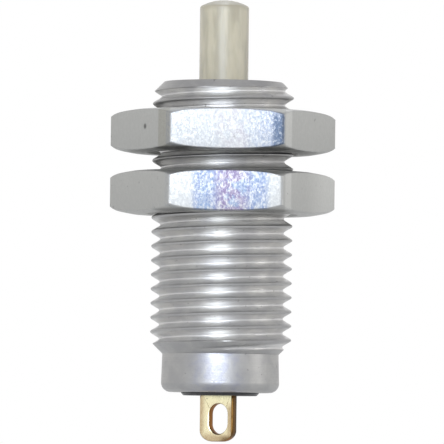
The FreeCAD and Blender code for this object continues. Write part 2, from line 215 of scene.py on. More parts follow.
class SwitchStage(bpy.types.PropertyGroup):
    """The photograph's camera, the floor and the lights."""

    distance: length("Camera distance", "Distance from camera to switch", 620.0)
    elevation: angle("Elevation", "Height of the camera above level", -2.0)
    roll: angle("Roll", "Lean of the picture", 0.7)
    field: length("Field", "Height of the picture at the switch", 39.57)
    middle: height("Middle", "Level at the picture's middle", -4.404)
    lamp_reach: length("Lamp reach", "Distance of the lamps from the switch", 450.0)
    floor_gap: length("Floor gap", "Space between the lug's tip and the floor", 6.0)


GROUPS = {
    "switch_thread": SwitchThread,
    "switch_barrel": SwitchBarrel,
    "switch_nut": SwitchNut,
    "switch_plunger": SwitchPlunger,
    "switch_terminal": SwitchTerminal,
    "switch_finish": SwitchFinish,
    "switch_stage": SwitchStage,
}


# Node building shared by the geometry trees and the materials.


class Wiring:
    """A node tree with short calls for adding and joining nodes."""

    def __init__(self, tree):
        self.tree = tree

    def feed(self, socket, value):
        """Join an input to another socket, or set its value."""
        if isinstance(value, bpy.types.NodeSocket):
            self.tree.links.new(value, socket)
        else:
            socket.default_value = value

    def add(self, kind, inputs=None, **settings):
        """A new node, whose inputs take values or sockets."""
        node = self.tree.nodes.new(kind)
        place = len(self.tree.nodes)
        node.location = (200 * (place % 12), -220 * (place // 12))
        for name, value in settings.items():
            setattr(node, name, value)
        for name, value in (inputs or {}).items():
            self.feed(node.inputs[name], value)
        return node

    def out(self, kind, inputs=None, **settings):
        """The first output of a new node."""
        return self.add(kind, inputs, **settings).outputs[0]

    def maths(self, operation, *values):
        """The result of one Math node."""
        return self.out("ShaderNodeMath", dict(enumerate(values)), operation=operation)

    def times(self, *values):
        """The product of two or more values."""
        return functools.reduce(lambda product, value: self.maths("MULTIPLY", product, value), values)

    def vector(self, x, y, z):
        """A vector made of three parts."""
        return self.out("ShaderNodeCombineXYZ", {"X": x, "Y": y, "Z": z})

    def split(self, vector):
        """The three parts of a vector."""
        return self.add("ShaderNodeSeparateXYZ", {0: vector}).outputs

    def mapping(self, vector, **values):
        """A vector that is turned or scaled."""
        return self.out("ShaderNodeMapping", {"Vector": vector, **values})

    def noise(self, position, size, detail=3.0, roughness=0.5, distortion=0.0):
        """A value noise at a position, by the size of its marks."""
        scale = self.maths("DIVIDE", 1.0, size) if isinstance(size, bpy.types.NodeSocket) else 1 / size
        inputs = {"Vector": position, "Scale": scale, "Detail": detail, "Roughness": roughness}
        return self.out("ShaderNodeTexNoise", {**inputs, "Distortion": distortion})

    def ramp(self, value, low, high, start=0.0, end=1.0):
        """The value stretched from one range to another and held there."""
        inputs = {"Value": value, "From Min": low, "From Max": high, "To Min": start, "To Max": end}
        return self.out("ShaderNodeMapRange", inputs, clamp=True, interpolation_type="SMOOTHSTEP")

    def band(self, value, middle, inner, outer, outside=0.0):
        """One within the inner distance of a middle, falling off to the outer distance."""
        away = self.maths("ABSOLUTE", self.maths("SUBTRACT", value, middle))
        return self.ramp(away, outer, inner, outside)

    def mix(self, factor, first, second, blend="MIX"):
        """Two colours mixed, each a socket or red, green and blue."""
        node = self.add("ShaderNodeMix", {0: factor}, data_type="RGBA", blend_type=blend)
        for index, value in ((6, first), (7, second)):
            self.feed(node.inputs[index], value if isinstance(value, bpy.types.NodeSocket) else (*value, 1.0))
        return node.outputs[2]


PLAIN_SOCKETS = {float: "Float", int: "Int"}


def built_once(name, kind, inputs, outputs):
    """Mark a function that fills a node group when it is first needed; inputs give a default or a socket type."""

    def marked(fill):
        @functools.wraps(fill)
        def stored():
            tree = bpy.data.node_groups.get(name)
            if tree:
                return tree
            tree = bpy.data.node_groups.new(name, kind)
            for label, value in inputs.items():
                plain = PLAIN_SOCKETS.get(type(value))
                socket = tree.interface.new_socket(label, in_out="INPUT", socket_type="NodeSocket" + (plain or value))
                if plain:
                    socket.default_value = value
            for label, socket_type in outputs.items():
                tree.interface.new_socket(label, in_out="OUTPUT", socket_type="NodeSocket" + socket_type)
            wires = Wiring(tree)
            fill(wires, wires.add("NodeGroupInput").outputs, wires.add("NodeGroupOutput").inputs)
            return tree

        return stored

    return marked


def end_shape(wires, result, mesh, material):
    """Close a geometry tree with real instances and a material."""
    real = wires.out("GeometryNodeRealizeInstances", {"Geometry": mesh})
    wires.feed(result[0], wires.out("GeometryNodeSetMaterial", {"Geometry": real, "Material": material}))


@built_once(
    "Helical Thread",
    "GeometryNodeTree",
    {
        "Geometry": "Geometry",
        "Pitch": 1.27 * MM,
        "Crest Radius": 6.35 * MM,
        "Root Radius": 5.52 * MM,
        "Flank Radius": 6.35 * MM,
        "Crest Height": 0.0,
        "Softness": 0.05 * MM,
        "Low End": -16.5 * MM,
        "High End": 8.0 * MM,
        "Low Radius": 5.2 * MM,
        "High Radius": 5.4 * MM,
        "Side": 1.0,
        "Start": 0.0,
        "Columns": 144,
        "Rows": 16,
        "Material": "Material",
    },
    {"Geometry": "Geometry"},
)
def thread_tree(wires, given, result):
    """A helical thread band that closes the open ring at each end of the turned body it is given."""
    maths, times = wires.maths, wires.times
    pitch, side, rows, low, high = (given[name] for name in ("Pitch", "Side", "Rows", "Low End", "High End"))
    crest, root, softness = given["Crest Radius"], given["Root Radius"], given["Softness"]
    # Rows run along the helix, from one turn below the low end, so that a crest is one row of edges.
    rise = maths("SUBTRACT", high, low)
    steps = maths("CEIL", maths("DIVIDE", times(maths("ADD", rise, pitch), rows), pitch))
    counts = {"Vertices X": maths("ADD", given["Columns"], 1.0), "Vertices Y": maths("ADD", steps, 1.0)}
    grid = wires.out("GeometryNodeMeshGrid", {"Size X": 1.0, "Size Y": 1.0, **counts})
    place = wires.split(wires.out("GeometryNodeInputPosition"))
    turn = maths("ADD", place["X"], 0.5)
    row = maths("ROUND", times(maths("ADD", place["Y"], 0.5), steps))
    along = maths("ADD", maths("DIVIDE", row, rows), maths("SUBTRACT", turn, 1.0))
    free = maths("MULTIPLY_ADD", along, pitch, low)
    level = maths("MINIMUM", maths("MAXIMUM", free, low), high)
    spin = maths("ADD", turn, given["Start"])
    # Distance from the nearest crest, along the axis.
    phase = maths("SUBTRACT", maths("DIVIDE", maths("SUBTRACT", level, given["Crest Height"]), pitch), spin)
    off_root = maths("ABSOLUTE", maths("SUBTRACT", maths("FRACT", phase), 0.5))
    off_crest = times(maths("SUBTRACT", 0.5, off_root), pitch)
    # Sixty degree flanks: the sharp V stands an eighth of its height over the crest.
    sharp = maths("MULTIPLY_ADD", pitch, sqrt(3) / 16, given["Flank Radius"])
    flank = maths("MULTIPLY_ADD", off_crest, -sqrt(3), sharp)
    wall = maths("SMOOTH_MAX", maths("SMOOTH_MIN", flank, crest, softness), root, softness)
    # Forty-five degree cones trim both ends, outwards on a barrel and inwards in a nut.
    low_cone = maths("MULTIPLY_ADD", side, given["Low Radius"], maths("SUBTRACT", level, low))
    high_cone = maths("MULTIPLY_ADD", side, given["High Radius"], maths("SUBTRACT", high, level))
    full, cone = times(side, wall), maths("MINIMUM", low_cone, high_cone)
    radius = times(side, maths("MINIMUM", full, cone))
    around = times(spin, 2 * pi)
    spot = wires.vector(times(radius, maths("COSINE", around)), times(radius, maths("SINE", around)), level)
    # How deep a point lies in the groove, stored before the points move; it fades out at a cone.
    sunk = maths("DIVIDE", maths("SUBTRACT", crest, wall), maths("SUBTRACT", crest, root))
    clear = wires.ramp(maths("SUBTRACT", cone, full), 0.0, times(pitch, 0.25))
    marks = {"Geometry": grid, "Name": "groove", "Value": times(sunk, clear)}
    marked = wires.out("GeometryNodeStoreNamedAttribute", marks, data_type="FLOAT", domain="POINT")
    band = wires.out("GeometryNodeSetPosition", {"Geometry": marked, "Position": spot})
    inwards = wires.out("GeometryNodeFlipFaces", {"Mesh": band})
    choice = {"Switch": maths("LESS_THAN", side, 0.0), "False": band, "True": inwards}
    faced = wires.out("GeometryNodeSwitch", choice, input_type="GEOMETRY")
    joined = wires.add("GeometryNodeJoinGeometry")
    for part in (given["Geometry"], faced):
        wires.feed(joined.inputs[0], part)
    merged = {"Geometry": joined.outputs[0], "Distance": 0.001 * MM}
    end_shape(wires, result, wires.out("GeometryNodeMergeByDistance", merged), given["Material"])


@built_once(
    "Spring Coil",
    "GeometryNodeTree",
    {
        "Geometry": "Geometry",
        "Coil Radius": 3.3 * MM,
        "Wire Radius": 0.3 * MM,
        "Low End": 0.0,
        "Height": 10 * MM,
        "Open Turns": 5,
        "Material": "Material",
    },
    {"Geometry": "Geometry"},
)
def coil_tree(wires, given, result):
    """A round wire coil with one closed turn at each end."""
    maths = wires.maths
    coil, wire, working = given["Coil Radius"], given["Wire Radius"], given["Open Turns"]
    every, thick = maths("ADD", working, 2.0), wires.times(wire, 2.0)
    sizes = {"Resolution": 48, "Rotations": every, "Start Radius": coil, "End Radius": coil, "Height": 0.0}
    spiral = wires.out("GeometryNodeCurveSpiral", sizes)
    passed = wires.times(wires.add("GeometryNodeSplineParameter").outputs["Factor"], every)
    opened = maths("MINIMUM", maths("MAXIMUM", maths("SUBTRACT", passed, 1.0), 0.0), working)
    closed_rise = wires.times(maths("SUBTRACT", passed, opened), thick)
    open_rise = maths("DIVIDE", maths("MULTIPLY_ADD", thick, -3.0, given["Height"]), working)
    rise = maths("MULTIPLY_ADD", opened, open_rise, closed_rise)
    level = maths("ADD", maths("ADD", given["Low End"], wire), rise)
    place = wires.split(wires.out("GeometryNodeInputPosition"))
    spot = wires.vector(place["X"], place["Y"], level)
    path = wires.out("GeometryNodeSetPosition", {"Geometry": spiral, "Position": spot})
    section = wires.out("GeometryNodeCurvePrimitiveCircle", {"Resolution": 12, "Radius": wire})
    curves = {"Curve": path, "Profile Curve": section, "Fill Caps": True}
    end_shape(wires, result, wires.out("GeometryNodeCurveToMesh", curves), given["Material"])


# Meshes.


def mesh_object(name, shape):
    """A scene object from a bmesh."""
    mesh = bpy.data.meshes.new(name)
    shape.to_mesh(mesh)
    shape.free()
    item = bpy.data.objects.new(name, mesh)
    bpy.context.scene.collection.objects.link(item)
    return item


def ring_strip(shape, rings, closed=False):
    """Quads between rings of equally many points, with normals to the right of travel."""
    made = [[shape.verts.new(point) for point in ring] for ring in rings]
    count = len(made[0])
    for lower, upper in zip(made, made[1:]):
        for i in range(count):
            j = (i + 1) % count
            shape.faces.new((lower[i], lower[j], upper[j], upper[i]))
    if closed:
        shape.faces.new(list(reversed(made[0])))
        shape.faces.new(made[-1])
    return made


def turns(columns):
    """The angles of evenly spaced columns about the axis, from +X round."""
    return [2 * pi * i / columns for i in range(columns)]


def lathe(profile, columns, closed=False):
    """A turned surface from (radius, level) pairs, which run upwards on its outside."""
    shape = bmesh.new()
    rings = [[(radius * cos(a), radius * sin(a), level) for a in turns(columns)] for radius, level in profile]
    ring_strip(shape, rings, closed)
    return shape


def arc(centre, radius, start, end, steps):
    """(radius, level) pairs along an arc, by angles in degrees."""
    angles = [radians(start + (end - start) * i / steps) for i in range(steps + 1)]
    return [(centre[0] + radius * cos(a), centre[1] + radius * sin(a)) for a in angles]


def grow(item, tree, values):
    """Run a geometry tree with those inputs on an object, and keep the plain mesh."""
    modifier = item.modifiers.new(tree.name, "NODES")
    modifier.node_group = tree
    for socket in tree.interface.items_tree:
        if socket.in_out == "INPUT" and socket.name in values:
            modifier[socket.identifier] = values[socket.name]
    settle(item)


def settle(item):
    """Replace an object's mesh by what its modifiers make of it, and drop the modifiers."""
    view = bpy.context.evaluated_depsgraph_get()
    view.update()
    plain = bpy.data.meshes.new_from_object(item.evaluated_get(view), preserve_all_data_layers=True, depsgraph=view)
    item.modifiers.clear()
    item.data = plain
    plain.name = item.name


def shade(item, limit):
    """Smooth shading with sharp edges over an angle."""
    item.data.shade_smooth()
    item.data.set_sharp_from_angle(angle=radians(limit))


def cut_thread(item, slot, gaps, levels, radii, side=1.0, start=0.0):
    """Close a body with a thread, by the gaps of its crest, root and flanks, and its ends' levels and radii."""
    sizes = bpy.context.scene.switch_thread
    values = {
        "Pitch": sizes.pitch,
        "Crest Radius": sizes.crest_radius + gaps[0],
        "Root Radius": sizes.root_radius + gaps[1],
        "Flank Radius": sizes.crest_radius + gaps[2],
        "Crest Height": sizes.crest_height,
        "Softness": sizes.softness,
        "Low End": levels[0],
        "High End": levels[1],
        "Low Radius": radii[0],
        "High Radius": radii[1],
        "Side": side,
        "Start": start,
        "Columns": sizes.columns,
        "Rows": sizes.rows,
        "Material": finish(slot),
    }
    grow(item, thread_tree(), values)


# Shader groups.


@built_once(
    "Surface Grain",
    "ShaderNodeTree",
    {"Position": "Vector", "Speckle Size": 0.1 * MM, "Patch Size": 3 * MM},
    {"Speckle": "Float", "Patches": "Float", "Pits": "Float"},
)
def grain_group(wires, given, result):
    """Fine speckle, broad patches and pits over a surface."""
    position, speckle = given["Position"], given["Speckle Size"]
    fine = wires.noise(position, speckle, 4.0, 0.6)
    broad = wires.noise(position, given["Patch Size"], 3.0, 0.55, 0.4)
    pits = wires.noise(position, wires.times(speckle, 1 / 0.35), 1.0, 0.4)
    wires.feed(result["Speckle"], wires.ramp(fine, 0.3, 0.7))
    wires.feed(result["Patches"], wires.ramp(broad, 0.32, 0.68))
    wires.feed(result["Pits"], wires.ramp(pits, 0.72, 0.8))


@built_once("Turned Rings", "ShaderNodeTree", {"Position": "Vector", "Ring Size": 0.08 * MM}, {"Rings": "Float"})
def turned_group(wires, given, result):
    """Rings left by a lathe tool about the axis."""
    x, y, z = wires.split(given["Position"])
    radius = wires.maths("SQRT", wires.maths("ADD", wires.times(x, x), wires.times(y, y)))
    drift = wires.times(wires.maths("ARCTAN2", y, x), 0.02 * MM)
    rings = wires.noise(wires.vector(radius, drift, z), given["Ring Size"], 3.0, 0.6)
    wires.feed(result["Rings"], wires.ramp(rings, 0.3, 0.7))


# Materials.


def span(*values, above=0.0):
    """Places in millimetres, which may be counted from a level."""
    return tuple(above + value * MM for value in values)


# Marks of use, painted light and painted shade, by where they lie in the switch's own frame (front is -Y). A band
# has its middle and its inner and outer half widths; the others have where a mark starts and where it is full.
SKIRT_SMEARS = span(-0.3, 1.6, 3.0)
SKIRT_FRONT = span(0.0, -4.0)
SKIRT_TOP = span(-15.9, -16.3)
NUT_GAP = span(0.7, 0.9, above=LOWER_HIGH[2])
NUT_FRONT = span(6.0, 7.0)
NUT_FLAT = span(8.3, 8.5)
LOWER_STAIN = span(0.7, 2.9, 3.7)
UPPER_STAIN = span(0.5, 5.0)
VIOLET_STAIN = span(0.8, 0.6, 2.0)
BLOT_ACROSS = span(4.9, 0.3, 0.75)
BLOT_UP = (UPPER_LOW[2] + 1.61 * MM, 1.2 * MM, 1.9 * MM)
# Painted shade: a darker strip beside the upper nut's left front corner, standing in for a curved facet.
FACET_SHADE_STRIP = span(-5.2, 0.48, 0.56)
# Painted highlight beside the nuts' +X front corners, and the lower nut's lighter +X side.
EDGE_HIGHLIGHT = span(5.8, 0.2, 0.34)
LIGHTER_SIDE = span(7.0, 9.5)
GOUGE = (-6.94 * MM, -5.44 * MM, UPPER_LOW[2] + 2.11 * MM)
GOUGE_RADII = span(0.34, 0.1)
# Painted shadow under the nuts' front corners.
UNDER_SHADOW_HEIGHT = span(0.34, 0.12)
UNDER_SHADOW_INSIDE = span(2.2, 3.4)
UNDER_SHADOW_OUTSIDE = span(6.5, 5.8)
# Painted shade towards the plunger's dome.
DOME_SHADE = span(-1.1, -0.5, above=PLUNGER_HIGH[2])
# On the lug: across its face from the middle, through the sheet from the middle, and up from its tip.
# Painted light near the lug's top, by the base moulding.
PAINTED_LIGHT_NEAR_BASE = span(3.17, 4.37, above=LUG_LOW[2])
# Painted shade along the lug's rounded borders and tip, darkest at the right border and the right of the tip.
BORDER_SHADE_LEFT = span(-1.1, -1.7)
BORDER_SHADE_RIGHT = span(0.75, 1.2)
BORDER_SHADE_RIGHT_HEIGHT = span(3.67, 2.77, above=LUG_LOW[2])
BORDER_SHADE_TIP = span(1.07, 0.27, above=LUG_LOW[2])
RIGHT_EDGE_SHADE = span(1.3, 1.42)
TIP_EDGE_SHADE = span(-0.1, 0.8)
TIP_EDGE_SHADE_HEIGHT = span(0.67, 0.22, above=LUG_LOW[2])
SHADED_BACK = span(-0.1, 0.25)
OUTER_EDGE = span(1.15, 1.35)

# What natural nylon adds to a moulding: it is clouded and a little translucent.
NYLON_DEPTH = {
    "Coat_Weight": 0.7,
    "Coat_Roughness": 0.5,
    "Subsurface_Weight": 0.45,
    "Subsurface_Radius": (1.2, 1.0, 0.7),
    "Subsurface_Scale": 0.9 * MM,
}


class Surface(Wiring):
    """A material with a plain shader, and the object's own coordinates."""

    def __init__(self, name):
        self.material = bpy.data.materials.new(name)
        self.material.use_nodes = True
        super().__init__(self.material.node_tree)
        self.tree.nodes.clear()
        self.position = self.add("ShaderNodeTexCoord").outputs["Object"]
        self.shader = self.add("ShaderNodeBsdfPrincipled")
        self.end = self.add("ShaderNodeOutputMaterial", {0: self.shader.outputs[0]})

    def grain(self, speckle, patch, position):
        """Speckle, patches and pits, by the size of the speckle and of the patches."""
        inputs = {"Position": position, "Speckle Size": speckle, "Patch Size": patch}
        return self.add("ShaderNodeGroup", inputs, node_tree=grain_group()).outputs

    def bump(self, level, strength, distance):
        """The normal of a surface with that relief."""
        return self.out("ShaderNodeBump", {"Strength": strength, "Distance": distance, "Height": level})

    def dress(self, **values):
        """Feed the shader's inputs, whose names are given with underscores, and hand over the material."""
        for name, value in values.items():
            self.feed(self.shader.inputs[name.replace("_", " ")], value)
        return self.material


def toned(base, share):
    """A darker or lighter shade of a colour."""
    return tuple(min(1.0, part * share) for part in base)


def turned_plating(name, base, ring_size, rough, cast=None):
    """Plated turned metal with tool rings; the barrel's has bluish smears and painted light low in its thread."""
    wires = Surface(name)
    inputs = {"Position": wires.position, "Ring Size": ring_size}
    rings = wires.add("ShaderNodeGroup", inputs, node_tree=turned_group()).outputs["Rings"]
    marks = wires.grain(0.12 * MM, 1.6 * MM, wires.position)
    turned = wires.maths("ADD", rings, marks["Speckle"])
    metal, gloss = base, wires.ramp(turned, 0.3, 1.7, *rough)
    if cast:
        # Low in the thread the colour is painted lighter, standing in for light on the flanks, and a little glossier;
        # the skirt's front is smeared.
        sunk = wires.ramp(wires.add("ShaderNodeAttribute", attribute_name="groove").outputs["Fac"], 0.0, 0.4)
        metal = wires.mix(sunk, base, toned(base, 1.58))
        gloss = wires.maths("SUBTRACT", gloss, wires.times(sunk, 0.03))
        x, y, z = wires.split(wires.position)
        smears = wires.ramp(wires.noise(wires.position, 1.3 * MM, 3.0, 0.6, 1.2), 0.4, 0.62, 0.35, 1.0)
        place = wires.times(wires.band(x, *SKIRT_SMEARS), wires.ramp(y, *SKIRT_FRONT), wires.ramp(z, *SKIRT_TOP))
        metal = wires.mix(wires.times(place, smears), metal, cast, "MULTIPLY")
    metal = wires.mix(wires.times(marks["Patches"], 0.6), metal, (0.78, 0.785, 0.82), "MULTIPLY")
    metal = wires.mix(wires.times(marks["Pits"], 0.6), metal, toned(base, 0.4))
    relief = wires.bump(turned, 0.35, 0.006 * MM)
    return wires.dress(Base_Color=metal, Metallic=1.0, Roughness=gloss, Normal=relief)


def satin_plating(name, base, tint, violet, facet_shade):
    """Satin plating over a milled nut, stained on the front flat."""
    wires = Surface(name)
    maths, times, ramp, band, mix = wires.maths, wires.times, wires.ramp, wires.band, wires.mix
    marks = wires.grain(0.14 * MM, 1.1 * MM, wires.position)
    x, y, z = wires.split(wires.position)
    upper, forwards, sideways = ramp(z, *NUT_GAP), maths("MULTIPLY", y, -1.0), maths("ABSOLUTE", x)
    front, flat = ramp(forwards, *NUT_FRONT), ramp(forwards, *NUT_FLAT)
    upright = wires.mapping(wires.position, Scale=(1.0, 1.0, 0.6))
    streaks = ramp(wires.noise(upright, 0.22 * MM, 4.0, 0.8), 0.3, 0.62)

    # Clean metal with a painted highlight beside each nut's +X front corner, lighter on the lower nut's +X side,
    # and with a painted shade strip beside the upper nut's left front corner.
    metal = mix(marks["Speckle"], toned(base, 0.95), toned(base, 1.04))
    side = times(ramp(x, *LIGHTER_SIDE), ramp(upper, 1.0, 0.0))
    lighter_side_and_highlight = maths("MAXIMUM", side, times(band(x, *EDGE_HIGHLIGHT), front))
    metal = mix(lighter_side_and_highlight, metal, toned(base, 1.2))
    metal = mix(times(upper, band(x, *FACET_SHADE_STRIP), front), metal, facet_shade)

    # The lower nut is stained over the middle of its flat, and the upper one towards +X.
    lower_stain, upper_stain = band(x, *LOWER_STAIN, 0.12), ramp(x, *UPPER_STAIN, 0.24, 0.75)
    stain = wires.out("ShaderNodeMix", {0: upper, 2: lower_stain, 3: upper_stain})
    violets = times(ramp(marks["Patches"], 0.0, 0.7), band(x, *VIOLET_STAIN, 0.15))
    metal = mix(times(flat, stain, streaks), metal, mix(violets, tint, violet))
    blot = times(flat, band(x, *BLOT_ACROSS), band(z, *BLOT_UP), ramp(streaks, 0.0, 0.8, 0.35, 1.0))
    metal = mix(blot, metal, toned(tint, 0.55))

    # Pits and one gouge, and painted shadow under the front corners.
    gouge = wires.add("ShaderNodeVectorMath", {0: wires.position, 1: GOUGE}, operation="DISTANCE").outputs["Value"]
    dents = maths("MAXIMUM", times(marks["Pits"], 0.5), ramp(gouge, *GOUGE_RADII))
    above = maths("SUBTRACT", z, ramp(upper, 0.0, 1.0, LOWER_LOW[2], UPPER_LOW[2]))
    corners = times(ramp(sideways, *UNDER_SHADOW_INSIDE), ramp(sideways, *UNDER_SHADOW_OUTSIDE), front)
    under_shadow = times(ramp(above, *UNDER_SHADOW_HEIGHT), corners, ramp(upper, 0.0, 1.0, 0.55, 0.9))
    metal = mix(maths("MAXIMUM", dents, under_shadow), metal, toned(base, 0.35))

    blotches = maths("MULTIPLY_ADD", streaks, 0.5, times(marks["Speckle"], 0.5))
    gloss, relief = ramp(blotches, 0.1, 0.9, 0.38, 0.58), wires.bump(blotches, 0.3, 0.008 * MM)
    return wires.dress(Base_Color=metal, Metallic=1.0, Roughness=gloss, Normal=relief)


def moulded(name, base, speckle, rough, strength, patch=2.5 * MM, stretch=None, shaded_end=None, **depth):
    """Moulded plastic with a faint orange-peel skin whose marks may run along the axis, and painted shade at an end.
    """
    wires = Surface(name)
    skin = wires.mapping(wires.position, Scale=(1.0, 1.0, 1 / stretch)) if stretch else wires.position
    marks = wires.grain(speckle, patch, skin)
    plastic = wires.mix(marks["Patches"], toned(base, 0.85), toned(base, 1.12))
    plastic = wires.mix(wires.times(marks["Pits"], 0.35), plastic, toned(base, 0.6))
    # A painted shade towards one end.
    if shaded_end:
        end = wires.ramp(wires.split(wires.position)["Z"], *shaded_end)
        plastic = wires.mix(wires.times(end, 0.8), plastic, toned(base, 0.72))
    gloss, relief = wires.ramp(marks["Speckle"], 0.0, 1.0, *rough), wires.bump(marks["Speckle"], strength, 0.01 * MM)
    return wires.dress(Base_Color=plastic, Roughness=gloss, Normal=relief, **depth)


def lug_face_light_and_shade(wires, base, border_shade_tone, edge_shade_tone, speckle, across, along, brass):
    """The lug's face: painted light near its top, painted shade along its borders and tip, darkest at the right."""
    times, ramp, mix = wires.times, wires.ramp, wires.mix
    # Painted light near the top, by the base moulding.
    brass = mix(ramp(along, *PAINTED_LIGHT_NEAR_BASE), brass, toned(base, 1.12))
    # Painted shade along the rounded borders and the tip, darkest at the right border and the right of the tip.
    right = times(ramp(across, *BORDER_SHADE_RIGHT), ramp(along, *BORDER_SHADE_RIGHT_HEIGHT))
    sides = wires.maths("MAXIMUM", ramp(across, *BORDER_SHADE_LEFT), right)
    rim = wires.maths("MAXIMUM", sides, ramp(along, *BORDER_SHADE_TIP))
    brass = mix(times(rim, ramp(speckle, 0.0, 1.0, 0.75, 1.0)), brass, border_shade_tone)
    brass = mix(ramp(across, *RIGHT_EDGE_SHADE), brass, edge_shade_tone)
    foot = times(ramp(across, *TIP_EDGE_SHADE), ramp(along, *TIP_EDGE_SHADE_HEIGHT), 0.7)
    return mix(foot, brass, edge_shade_tone)


def rolled_sheet(name, base, turn, rough, border_shade_tone=None, edge_shade_tone=None, slot=None):
    """Sheet brass with rolling lines along its length: its face, or its cut edge where the slot's colour is given."""
    wires = Surface(name)
    own = wires.mapping(wires.position, Rotation=(0.0, 0.0, -turn))
    across, through, along = wires.split(own)
    lines = wires.ramp(wires.noise(wires.mapping(own, Scale=(1.0, 1.0, 0.06)), 0.07 * MM, 3.0, 0.6), 0.3, 0.7)
    marks = wires.grain(0.16 * MM, 1.6 * MM, wires.position)
    brass = wires.mix(marks["Patches"], toned(base, 0.95), toned(base, 1.08))
    if slot:
        brass = wires.mix(wires.ramp(through, *SHADED_BACK), brass, toned(base, 0.4))
        brass = wires.mix(wires.ramp(wires.maths("ABSOLUTE", across), *OUTER_EDGE), slot, brass)
    else:
        brass = lug_face_light_and_shade(wires, base, border_shade_tone, edge_shade_tone, marks["Speckle"], across, along, brass)
    brass = wires.mix(wires.times(marks["Pits"], 0.55), brass, toned(base, 0.35))
    gloss = wires.ramp(wires.maths("ADD", lines, marks["Speckle"]), 0.2, 1.8, *rough)
    relief = wires.bump(wires.maths("ADD", lines, marks["Patches"]), 0.35, 0.006 * MM)
    return wires.dress(Base_Color=brass, Metallic=1.0, Roughness=gloss, Normal=relief)


def finish(slot):
    """One of the switch's finishes, made when it is first needed."""
    name = slot + "_finish"
    if name in bpy.data.materials:
        return bpy.data.materials[name]
    scene = bpy.context.scene
    turn = scene.switch_terminal.turn

    def tone(part):
        return tuple(getattr(scene.switch_finish, part))

    if slot == "barrel_metal":
        return turned_plating(name, tone("barrel"), 0.07 * MM, (0.34, 0.48), tone("skirt_cast"))
    if slot == "contact_metal":
        return turned_plating(name, tone("contact"), 0.05 * MM, (0.2, 0.3))
    if slot == "spring_steel":
        return turned_plating(name, tone("spring"), 0.05 * MM, (0.22, 0.34))
    if slot == "nut_metal":
        return satin_plating(name, tone("nut"), tone("nut_tint"), tone("nut_violet"), tone("nut_facet_shade"))
    if slot == "nylon":
        return moulded(name, tone("nylon"), 0.3 * MM, (0.3, 0.42), 0.2, 0.9 * MM, 5.0, DOME_SHADE, **NYLON_DEPTH)
    if slot == "brass":
        return rolled_sheet(name, tone("brass"), turn, (0.14, 0.26), tone("brass_border_shade"), tone("brass_edge"))
    if slot == "brass_edge":
        return rolled_sheet(name, tone("brass_edge"), turn, (0.3, 0.5), slot=tone("slot_edge"))
    if slot == "black_moulding":
        return moulded(name, tone("moulding"), 0.2 * MM, (0.3, 0.5), 0.3)
    if slot == "brown_moulding":
        return moulded(name, tone("spacer"), 0.15 * MM, (0.45, 0.6), 0.3)
    raise KeyError(slot)


# Pieces.

# Where the rings lie across a nut's chamfer, from its circle to its hexagon.
CHAMFER_RINGS = (0.0, 0.5, 0.7, 0.85, 1.0)


def nut_outside(sizes, thread, low, high, turn):
    """The outside of a nut with chamfered faces, open where its thread comes."""
    columns = thread.columns
    flat = sizes.across_flats / 2
    corner = flat / cos(pi / 6)
    circle = flat - sizes.chamfer_width
    angles = turns(columns)
    # The hexagon's radius at each angle, with a corner on +X.
    reach = [flat / cos(around % (pi / 3) - pi / 6) for around in angles]

    def ring(radii, face, way):
        """Points at those radii, dropped from a face by the chamfer."""
        points = []
        for around, radius in zip(angles, radii):
            out = max(0.0, (radius - circle) / (corner - circle))
            drop = sizes.corner_drop * out + sizes.corner_roll * out**5
            points.append((radius * cos(around + turn), radius * sin(around + turn), face + way * drop))
        return points

    face = [[thread.crest_radius + sizes.countersink] * columns]
    for share in CHAMFER_RINGS:
        face.append([circle + (radius - circle) * share for radius in reach])
    shape = bmesh.new()
    below, above = [ring(radii, low, 1) for radii in face], [ring(radii, high, -1) for radii in reversed(face)]
    made = ring_strip(shape, below + above)
    sides = made[len(below) - 1], made[len(below)]
    weight = shape.edges.layers.float.new("bevel_weight_edge")
    for i in range(columns):
        upright = shape.edges.get((sides[0][i], sides[1][i]))
        upright[weight] = 1.0 if i % (columns // 6) == 0 else 0.0
        for loop in sides:
            shape.edges.get((loop[i], loop[(i + 1) % columns]))[weight] = sizes.edge_radius / sizes.corner_radius
    return shape


def lug_outline(sizes):
    """The lug's outline and its wire slot, as (across, level) points."""
    half, tongue = sizes.width / 2, sizes.tongue_width / 2
    wide, tall = sizes.corner_width, sizes.corner_height
    side = [(half - wide + x * wide, LUG_LOW[2] + tall + z * tall) for x, z in arc((0.0, 0.0), 1.0, -90, 0, 14)]
    side += [(half, sizes.shoulder), (tongue, sizes.shoulder), (tongue, LUG_HIGH[2])]
    outside = side + [(-x, z) for x, z in reversed(side)]
    bore = sizes.slot_width / 2
    straight = sizes.slot_length / 2 - bore
    slot = arc((sizes.slot_shift, sizes.slot_height + straight), bore, 0, 180, 20)
    slot += arc((sizes.slot_shift, sizes.slot_height - straight), bore, 180, 360, 20)
    return outside, slot


def lug_plate(sizes):
    """The stamped lug: both faces, the cut edge and the slot's wall."""
    outside, slot = lug_outline(sizes)
    shape = bmesh.new()
    edges = []
    for loop in (outside, slot):
        verts = [shape.verts.new((x, -sizes.thickness / 2, z)) for x, z in loop]
        edges += [shape.edges.new((a, b)) for a, b in zip(verts, verts[1:] + verts[:1])]
    bmesh.ops.triangle_fill(shape, edges=edges, use_beauty=True)
    grown = bmesh.ops.extrude_face_region(shape, geom=shape.faces[:])
    moved = [item for item in grown["geom"] if isinstance(item, bmesh.types.BMVert)]
    bmesh.ops.translate(shape, verts=moved, vec=(0.0, sizes.thickness, 0.0))
    bmesh.ops.recalc_face_normals(shape, faces=shape.faces)
    shape.normal_update()
    for face in shape.faces:
        face.material_index = 0 if abs(face.normal.y) > 0.5 else 1
    shape.transform(Matrix.Rotation(sizes.turn, 4, "Z") @ Matrix.Translation((-sizes.offset, 0.0, 0.0)))
    return shape


